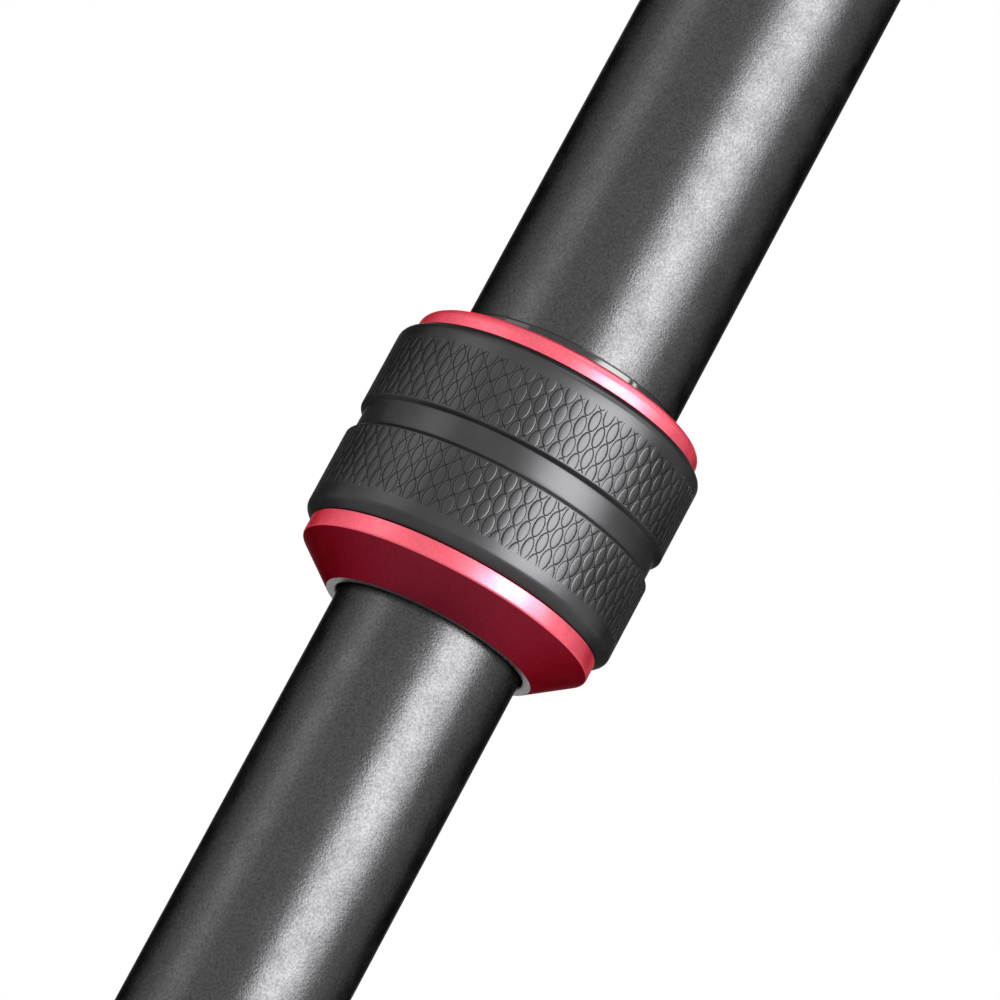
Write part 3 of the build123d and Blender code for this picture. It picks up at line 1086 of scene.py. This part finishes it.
@dataclass(frozen=True)
class Bolt:
    """A hinge bolt: a pin between two low heads, each with a six-sided socket whose floor is
    painted dark as shade.
    """

    half: float = 14.8
    head_r: float = 5.6
    head: float = 2.0
    pin_r: float = 3.0
    socket_r: float = 2.3
    socket_depth: float = 1.5
    recess: float = 0.1
    shade_edge: float = 0.3
    shade_depth: float = 0.2
    segments: int = 96

    def form(self) -> Form:
        """The bolt, along Z.

        Returns:
            Its form, in millimetres.
        """
        face = self.half - self.recess
        profile = (
            Profile()
            .at(0.0, self.half - self.socket_depth)
            .at(self.socket_r, self.half - self.socket_depth)
            .at(self.socket_r, face, 0.15)
            .at(self.head_r, face, 0.5)
            .at(self.head_r, self.half - self.head)
            .at(self.pin_r, self.half - self.head)
        )
        upper = profile.outline(closed=False)
        lower = [(radius, -height) for radius, height in reversed(upper)]
        form = lathe(upper + lower, self.segments, closed=False)
        for vertex in form.verts:
            reach = reach_of(vertex.co)
            if CLOSE < reach < self.socket_r + CLOSE and abs(vertex.co.z) > self.half - self.head:
                self.square_up(vertex)
        # Faces deep in each socket take the near-black steel of painted shade.
        for side in form.faces:
            middle = side.calc_center_median()
            within = abs(middle.z) < self.half - self.shade_depth
            if within and reach_of(middle) < self.socket_r - self.shade_edge:
                side.material_index = 1
        return form

    def square_up(self, vertex: bmesh.types.BMVert) -> None:
        """Draw a point of the round socket in to the flat of a hexagon.

        Args:
            vertex: The point.
        """
        sector = pi / 3
        angle = atan2(vertex.co.y, vertex.co.x) % sector - sector / 2
        share = cos(sector / 2) / cos(angle)
        vertex.co.x *= share
        vertex.co.y *= share


@dataclass(frozen=True)
class Stud:
    """The head screw: a threaded stud above the plate, and its round shank below."""

    radius: float = 4.76
    top: float = 10.5
    pitch: float = 1.5875
    thread_depth: float = 0.85
    root_share: float = 0.12
    flank_share: float = 0.72
    chamfer: float = 0.9
    shank_r: float = 5.5
    shank_low: float = -12.0
    shank_high: float = -0.05
    steps: int = 72
    levels_per_turn: int = 16

    def thread_radius(self, angle: float, height: float) -> float:
        """How far the thread reaches, by its angle and height.

        Args:
            angle: The angle about the stud.
            height: The height above the plate.

        Returns:
            The radius, which runs out at the stud's foot and is chamfered at its top.
        """
        phase = (height / self.pitch - angle / (2 * pi)) % 1.0
        ridge = abs(2 * phase - 1)
        fullness = min(1.0, max(0.0, (ridge - self.root_share) / self.flank_share))
        foot = min(1.0, height / self.pitch)
        reach = self.radius - self.thread_depth * (1 - fullness) * foot
        end = self.radius + (self.top - height) - self.chamfer
        return min(reach, max(end, self.radius - self.chamfer))

    def form(self) -> Form:
        """The stud and its shank, closed at both ends.

        Returns:
            Its form, in millimetres.
        """
        form = bmesh.new()
        rings = []
        for level in (self.shank_low, self.shank_high):
            rings.append(ring(form, [self.shank_r] * self.steps, level))
        angles = [2 * pi * step / self.steps for step in range(self.steps)]
        count = round(self.top / self.pitch * self.levels_per_turn)
        for index in range(count + 1):
            level = self.top * index / count
            radii = [self.thread_radius(angle, level) for angle in angles]
            rings.append(ring(form, radii, level))
        skin(form, rings)
        form.faces.new(rings[0][::-1])
        form.faces.new(rings[-1])
        return form


@dataclass(frozen=True)
class Hoop:
    """The round steel ring that a weight is hung from."""

    radius: float = 8.0
    wire: float = 2.5
    drop: float = 354.0
    turns: int = 96
    sides: int = 24

    def form(self) -> Form:
        """The ring, standing in the XZ plane.

        Returns:
            Its form, in millimetres.
        """
        form = bmesh.new()
        hoops = []
        for turn in range(self.turns):
            angle = 2 * pi * turn / self.turns
            hoop = []
            for side in range(self.sides):
                lean = 2 * pi * side / self.sides
                reach = self.radius + self.wire / 2 * cos(lean)
                height = reach * sin(angle) - self.drop
                across = self.wire / 2 * sin(lean)
                hoop.append(form.verts.new((reach * cos(angle), across, height)))
            hoops.append(hoop)
        skin(form, hoops, closed=True)
        return form


@dataclass(frozen=True)
class MountPlate:
    """The round plate under the head: a rim with a fine knurl, over a socket on the column."""

    radius: float = 30.0
    rim: float = -0.6
    base: float = -10.0
    undercut: float = 2.5
    pad_r: float = 28.5
    pad: float = 2.0
    socket_r: float = 16.5
    socket_base: float = -20.0
    bore: float = 12.5
    teeth: int = 90
    tooth_depth: float = 0.4
    plain_edge: float = 1.2
    hole_r: float = 5.8
    floor: float = -12.0
    pad_ribs: int = 9
    pad_inner: float = 8.0
    pad_gap: float = 0.5
    pad_inset: float = 0.05
    pad_segments: int = 160

    def form(self) -> Form:
        """The plate, with a knurl of upright teeth round its rim.

        Returns:
            Its form, in millimetres.
        """
        knurl_top = self.rim - self.plain_edge
        knurl_base = self.base + self.undercut + self.plain_edge
        profile = (
            Profile()
            .at(self.hole_r, -self.pad)
            .at(self.pad_r, -self.pad)
            .at(self.pad_r, self.rim, 0.2)
            .at(self.radius, self.rim, 0.6)
            .at(self.radius, knurl_top)
            .at(self.radius, knurl_top - self.tooth_depth)
            .at(self.radius, knurl_base)
            .at(self.radius, knurl_base - self.tooth_depth)
            .at(self.radius, self.base + self.undercut, 0.4)
            .at(self.radius - self.undercut, self.base, 0.4)
            .at(self.socket_r, self.base, 2.4)
            .at(self.socket_r, self.socket_base, 0.7)
            .at(self.bore, self.socket_base, 0.3)
            .at(self.bore, self.floor)
            .at(self.hole_r, self.floor)
        )
        steps = 4 * self.teeth
        form = lathe(profile.outline(), steps)
        high = knurl_top - self.tooth_depth / 2
        low = knurl_base - self.tooth_depth / 2
        for vertex in form.verts:
            turn = round(atan2(vertex.co.y, vertex.co.x) / (2 * pi) * steps)
            on_rim = reach_of(vertex.co) > self.radius - CLOSE and low < vertex.co.z < high
            if on_rim and turn % 4 < 2:
                share = 1 - self.tooth_depth / self.radius
                vertex.co.x *= share
                vertex.co.y *= share
        return form

    def pad_form(self) -> Form:
        """The rubber pad, with fine rings moulded round its face.

        Returns:
            Its form, in millimetres.
        """
        profile = Profile().at(self.hole_r, -self.pad).at(self.hole_r, 0.0, 0.3)
        pitch = (self.pad_r - self.pad_inner) / self.pad_ribs
        for rib in range(self.pad_ribs):
            reach = self.pad_inner + rib * pitch
            profile.at(reach, 0.0, 0.12)
            profile.at(reach + self.pad_gap / 2, -self.pad_gap, 0.12)
            profile.at(reach + self.pad_gap, 0.0, 0.12)
        edge_r = self.pad_r - self.pad_inset
        profile.at(edge_r, 0.0, 0.4).at(edge_r, -self.pad)
        return lathe(profile.outline(), self.pad_segments)


@dataclass(frozen=True)
class Level:
    """The round spirit level: a cup of liquid, a bubble in it and a ring round the bubble."""

    radius: float = 5.5
    low: float = -62.4
    top: float = -57.0
    reach: float = 27.5
    inset: float = 0.05
    shoulder: float = 0.55
    dome: float = 0.12
    mark: tuple[tuple[float, float], ...] = ((2.1, -0.13), (2.4, -0.15), (2.4, -0.05), (2.1, -0.02))
    bubble_r: float = 1.5
    bubble_at: Triple = (0.3, 0.2, -0.02)
    flatness: float = 0.06
    segments: int = 96

    def form(self) -> Form:
        """The cup's tinted body, with a domed cap.

        Returns:
            Its form, in millimetres.
        """
        edge_r = self.radius - self.inset
        profile = (
            Profile()
            .at(0.0, self.low)
            .at(edge_r, self.low)
            .at(edge_r, self.top - self.shoulder, 0.35)
            .at(self.radius * 0.5, self.top - self.dome, 4.0)
            .at(0.0, self.top)
        )
        return lathe(profile.outline(closed=False), self.segments, closed=False)

    def ring(self) -> Form:
        """The fine black ring that the bubble is brought into, in millimetres."""
        outline = [(radius, self.top + height) for radius, height in self.mark]
        return lathe(outline, 64)

    def bubble(self) -> Form:
        """The bubble, as a low lens under the cap, coloured pale partly for the air in it and
        partly as a painted highlight.

        Returns:
            Its form, in millimetres.
        """
        form = bmesh.new()
        bmesh.ops.create_uvsphere(form, u_segments=48, v_segments=24, radius=self.bubble_r)
        bmesh.ops.scale(form, vec=(1.0, 1.0, self.flatness), verts=form.verts)
        across, along, above = self.bubble_at
        bmesh.ops.translate(form, vec=(across, along, self.top + above), verts=form.verts)
        return form


@dataclass(frozen=True)
class CadPiece:
    """A CAD node that keeps its own mesh, and gets broken edges and a finish."""

    node: str
    finish: Finish
    edge: float = 0.0
    weld: float = 0.002
    rounding_steps: int = 3
    corner: float = radians(35)

    def dress(self, maker: Maker) -> None:
        """Weld the node's faces, round its edges, keep its flats flat and give it its finish.

        Args:
            maker: What knows the frame's nodes.
        """
        thing = maker.nodes[self.node]
        mesh = thing.data
        mesh.materials.clear()
        mesh.materials.append(self.finish.material())
        weld = thing.modifiers.new("weld", "WELD")
        weld.merge_threshold = self.weld * MM
        if self.edge > 0:
            bevel = thing.modifiers.new("bevel", "BEVEL")
            bevel.width = self.edge * MM
            bevel.segments = self.rounding_steps
            bevel.limit_method = "ANGLE"
            bevel.angle_limit = self.corner
            bevel.harden_normals = True
            flatten = thing.modifiers.new("flat_faces", "WEIGHTED_NORMAL")
            flatten.keep_sharp = True
        log.info("%s keeps its CAD mesh", self.node)


@dataclass(frozen=True)
class Leg:
    """One leg, from the shoulder on its hinge pin down to the foot."""

    number: int
    maker: Maker
    upper_r: float = 13.0
    middle_r: float = 11.25
    lower_r: float = 9.5
    wall: float = 1.3
    seat: float = -28.0
    upper_lock: float = -460.0
    lower_lock: float = -820.0
    foot: float = -1190.0
    overlap: float = 65.0
    tube_end: float = -6.2
    foot_plug: float = 6.0

    @property
    def name(self) -> str:
        """The leg's name, which is its upper body's name too."""
        return f"leg_{self.number}"

    @property
    def place(self) -> Matrix:
        """The leg's own frame, from the axes of its joints.

        Returns:
            A place with its origin on the hinge pin, Z up the leg and Y along the pin.
        """
        fold = self.maker.joints[f"{self.name}_fold"]
        turn = self.maker.joints[f"{self.name}_upper_lock_turn"]
        up = Vector(turn["axis"]).normalized()
        pin = Vector(fold["axis"]).normalized()
        out = pin.cross(up).normalized()
        matrix = Matrix((out, pin, up)).transposed().to_4x4()
        matrix.translation = Vector(fold["pos_m"])
        return matrix

    def build(self) -> None:
        """Make the leg's pieces and dress its castings."""
        name = self.name
        middle = f"{name}_middle"
        self.build_tubes()
        self.build_lock("upper", TwistLock(self.upper_r, self.middle_r), self.upper_lock, name)
        self.build_lock("lower", TwistLock(self.middle_r, self.lower_r), self.lower_lock, middle)
        foot = self.maker.shared("foot", Foot().form)
        at = raised(self.place, self.foot)
        body = f"{name}_lower"
        self.maker.piece(f"{name}_rubber_foot", foot, at, body, [FOOT_RUBBER], f"{name}_foot")
        CadPiece(f"{name}_shoulder", CAST_PAINT, 0.6).dress(self.maker)
        CadPiece(f"{name}_stop_tab", RED_TAB, 0.1).dress(self.maker)
        for part in ("upper", "middle", "lower"):
            CadPiece(f"{name}_{part}_bushes", ACETAL).dress(self.maker)

    def build_tubes(self) -> None:
        """Make the three tubes, each of which ends inside the one above."""
        end = self.tube_end
        lap = self.overlap
        upper = Tube(self.upper_r, self.wall, self.upper_lock + end, self.seat)
        middle = Tube(self.middle_r, self.wall, self.lower_lock + end, self.upper_lock + lap)
        lower = Tube(self.lower_r, self.wall, self.foot + self.foot_plug, self.lower_lock + lap)
        for part, tube, body in (
            ("upper", upper, self.name),
            ("middle", middle, f"{self.name}_middle"),
            ("lower", lower, f"{self.name}_lower"),
        ):
            mesh = self.maker.shared(f"{part}_tube", tube.form)
            name = f"{self.name}_{part}_section"
            node = f"{self.name}_{part}_tube"
            self.maker.piece(name, mesh, self.place, body, [BLACK_TUBE], node)

    def build_lock(self, which: str, lock: TwistLock, height: float, carrier: str) -> None:
        """Make one of the leg's twist locks.

        Args:
            which: upper or lower.
            lock: The lock.
            height: Its height along the leg.
            carrier: The body of the outer tube.
        """
        at = raised(self.place, height)
        name = f"{self.name}_{which}"
        self.maker.turning(name, which, lock, at)
        lip = self.maker.shared(f"{which}_ferrule_lip", lock.ferrule)
        self.maker.piece(f"{name}_lip", lip, at, carrier, [GLOSS_BLACK], f"{name}_ferrule")


@dataclass(frozen=True)
class Centre:
    """The spider, the centre column with its lock, and the plate that a head is mounted on."""

    maker: Maker
    column_r: float = 12.5
    column_wall: float = 1.5
    column_top: float = -12.0
    column_base: float = -336.0
    neck_r: float = 15.75
    lock_height: float = -39.7

    def build(self) -> None:
        """Make the centre's pieces and dress its castings."""
        self.build_column()
        self.build_plate()
        self.build_level()
        self.build_bolts()
        CadPiece("spider", CAST_PAINT, 0.5).dress(self.maker)
        CadPiece("column_end", CAST_PAINT, 0.3).dress(self.maker)
        CadPiece("column_bush", ACETAL).dress(self.maker)

    def build_column(self) -> None:
        """Make the column, its lock and the ring below it."""
        maker = self.maker
        column = Tube(self.column_r, self.column_wall, self.column_base, self.column_top)
        tube = maker.shared("column_tube", column.form)
        maker.piece("column_section", tube, ORIGIN, "column", [BLACK_TUBE], "centre_column")
        upside_down = raised(ORIGIN, self.lock_height) @ Matrix.Rotation(pi, 4, "X")
        maker.turning("column", "column", TwistLock(self.neck_r, self.column_r), upside_down)
        hoop = maker.shared("hoop", Hoop().form)
        maker.piece("weight_hoop", hoop, ORIGIN, "ring", [STEEL], "load_ring")

    def build_plate(self) -> None:
        """Make the mounting plate, its pad and the head screw."""
        plate = MountPlate()
        for name, build, finish, node in (
            ("head_plate", plate.form, CAST_PAINT, "mounting_plate"),
            ("head_plate_pad", plate.pad_form, PAD_RUBBER, "plate_pad"),
            ("threaded_stud", Stud().form, STEEL, "head_screw"),
        ):
            mesh = self.maker.shared(name, build)
            self.maker.piece(name, mesh, ORIGIN, "column", [finish], node)

    def build_level(self) -> None:
        """Make the spirit level."""
        level = Level()
        at = Matrix.Translation((level.reach * MM, 0, 0))
        for name, build, finish, nodes in (
            ("level_cup", level.form, LEVEL_LIQUID, ["bubble_level"]),
            ("level_mark", level.ring, GLOSS_BLACK, []),
            ("level_bubble", level.bubble, LEVEL_BUBBLE_HIGHLIGHT, []),
        ):
            self.maker.piece(name, self.maker.shared(name, build), at, "spider", [finish], *nodes)

    def build_bolts(self) -> None:
        """Make the three hinge bolts, which together stand for the CAD's node."""
        bolt = self.maker.shared("hinge_bolt", Bolt().form)
        finishes = [STEEL, SOCKET_PAINTED_SHADE_STEEL]
        for number in (1, 2, 3):
            fold = self.maker.joints[f"leg_{number}_fold"]
            turn = Vector((0, 0, 1)).rotation_difference(Vector(fold["axis"])).to_matrix().to_4x4()
            at = Matrix.Translation(fold["pos_m"]) @ turn
            self.maker.piece(f"hinge_bolt_{number}", bolt, at, "spider", finishes, "hinge_pins")


@dataclass(frozen=True)
class Lamp:
    """A soft rectangular lamp, by where it stands as seen from the lock in view."""

    name: str
    azimuth: float
    elevation: float
    distance: float
    width: float
    height: float
    power: float
    lights_floor: bool = True

    def way(self) -> Vector:
        """The direction in which it stands, as a unit vector."""
        turn, lift = radians(self.azimuth), radians(self.elevation)
        return Vector((sin(turn) * cos(lift), -cos(turn) * cos(lift), sin(lift)))


@dataclass(frozen=True)
class Studio:
    """A white studio: the floor, the backdrop, the soft lamps and the camera."""

    leg: Leg
    lens: float = 234.0
    sensor: float = 36.0
    distance: float = 0.7182
    axis_seen: Triple = (0.4586, 0.8527, -0.25)
    aim_share: float = 0.0018
    clip_start: float = 0.05
    ambient: float = 0.75
    floor_size: float = 12.0
    floor_colour: Colour = (0.86, 0.86, 0.86)
    lamps: tuple[Lamp, ...] = (
        Lamp("top_right_softbox", 80.0, 42.0, 1.8, 1.2, 1.2, 18.0),
        Lamp("key_softbox", 41.0, -2.7, 1.6, 1.5, 0.8, 42.0, lights_floor=False),
        Lamp("left_softbox", -65.0, 38.0, 2.2, 1.0, 1.0, 4.0),
        Lamp("back_softbox", 165.0, 40.0, 2.6, 1.6, 1.6, 16.0),
    )

    def build(self) -> None:
        """Set the whole studio up, aimed at the upper lock of its leg."""
        target = raised(self.leg.place, self.leg.upper_lock)
        self.build_camera(target)
        self.build_world()
        self.build_lamps(target.translation, self.build_floor())

    def build_camera(self, target: Matrix) -> None:
        """Place the camera so that the lock lies in the frame as the photograph has it.

        The leg's own axis has known components to the right, up and away from the camera. The
        camera also looks level across the row frame's X, which fixes the rest of its turn.

        Args:
            target: The frame of the lock in view.
        """
        data = bpy.data.cameras.new("camera")
        data.lens = self.lens
        data.sensor_width = self.sensor
        data.clip_start = self.clip_start
        camera = bpy.data.objects.new("camera", data)
        bpy.context.scene.collection.objects.link(camera)
        turn = self.camera_turn(target.col[2].to_3d(), target.col[1].to_3d())
        right, _, back = (turn.col[index].to_3d() for index in range(3))
        shift = self.aim_share * self.sensor / self.lens * self.distance
        middle = target.translation - right * shift
        camera.matrix_world = Matrix.Translation(middle + back * self.distance) @ turn.to_4x4()
        bpy.context.scene.camera = camera

    def camera_turn(self, leg_up: Vector, pin: Vector) -> Matrix:
        """The camera's rotation, which shows the leg's axis as the photograph has it.

        Args:
            leg_up: The leg's axis.
            pin: The leg's pin axis, one end of which points away from the camera.

        Returns:
            A matrix whose columns are the camera's right, up and back directions.
        """
        seen_up = Vector(self.axis_seen).normalized()
        straight_away = Vector((0.0, 0.0, -1.0))
        seen_side = (straight_away - seen_up * seen_up.dot(straight_away)).normalized()
        side = -pin if pin.y < 0 else pin
        seen = Matrix((seen_up, seen_side, seen_up.cross(seen_side))).transposed()
        real = Matrix((leg_up, side, leg_up.cross(side))).transposed()
        return real @ seen.inverted()

    def build_lamps(self, target: Vector, floor: bpy.types.Object) -> None:
        """Hang the soft lamps round the tripod, each facing the lock in view.

        Args:
            target: The point that they face.
            floor: The floor, which the strong low lamp doesn't light, so that it stays evenly pale.
        """
        kept_off = bpy.data.collections.new("unlit_by_low_lamp")
        kept_off.objects.link(floor)
        kept_off.collection_objects[0].light_linking.link_state = "EXCLUDE"
        for lamp in self.lamps:
            data = bpy.data.lights.new(lamp.name, "AREA")
            data.shape = "RECTANGLE"
            data.size = lamp.width
            data.size_y = lamp.height
            data.energy = lamp.power
            thing = bpy.data.objects.new(lamp.name, data)
            bpy.context.scene.collection.objects.link(thing)
            thing.location = target + lamp.way() * lamp.distance
            thing.rotation_euler = lamp.way().to_track_quat("Z", "Y").to_euler()
            if not lamp.lights_floor:
                thing.light_linking.receiver_collection = kept_off

    def build_world(self) -> None:
        """Light all with a plain world, which looks white when it is seen directly or in gloss."""
        world = bpy.data.worlds.new("surround")
        bpy.context.scene.world = world
        world.use_nodes = True
        tree = world.node_tree
        background = tree.nodes["Background"]
        background.inputs["Color"].default_value = (1.0, 1.0, 1.0, 1.0)
        path = tree.nodes.new("ShaderNodeLightPath")
        white = path.outputs["Is Camera Ray"]
        for ray in ("Is Glossy Ray", "Is Transmission Ray"):
            either = tree.nodes.new("ShaderNodeMath")
            either.operation = "MAXIMUM"
            tree.links.new(white, either.inputs[0])
            tree.links.new(path.outputs[ray], either.inputs[1])
            white = either.outputs[0]
        strength = tree.nodes.new("ShaderNodeMapRange")
        strength.inputs["To Min"].default_value = self.ambient
        strength.inputs["To Max"].default_value = 1.0
        tree.links.new(white, strength.inputs["Value"])
        tree.links.new(strength.outputs["Result"], background.inputs["Strength"])

    def build_floor(self) -> bpy.types.Object:
        """Lay a plain pale floor at the feet.

        Returns:
            The floor.
        """
        low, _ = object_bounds()
        form = bmesh.new()
        half = self.floor_size / 2
        corners = [(-half, -half), (half, -half), (half, half), (-half, half)]
        form.faces.new([form.verts.new((x, y, low[2])) for x, y in corners])
        mesh = bpy.data.meshes.new("floor")
        form.to_mesh(mesh)
        form.free()
        shader = Shader("pale_floor")
        shader.set(Base_Color=self.floor_colour, Roughness=0.9, Specular_IOR_Level=0.2)
        mesh.materials.append(shader.material)
        floor = bpy.data.objects.new("floor", mesh)
        bpy.context.scene.collection.objects.link(floor)
        floor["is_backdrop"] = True
        return floor


def main() -> None:
    """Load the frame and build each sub-assembly round it."""
    logging.basicConfig(level=logging.INFO, format="%(name)s: %(message)s")
    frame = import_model()
    bpy.context.scene.view_settings.view_transform = "Standard"
    maker = Maker(frame)
    legs = [Leg(number, maker) for number in (1, 2, 3)]
    Studio(legs[0]).build()
    for leg in legs:
        leg.build()
    Centre(maker).build()


if __name__ == "__main__":
    main()
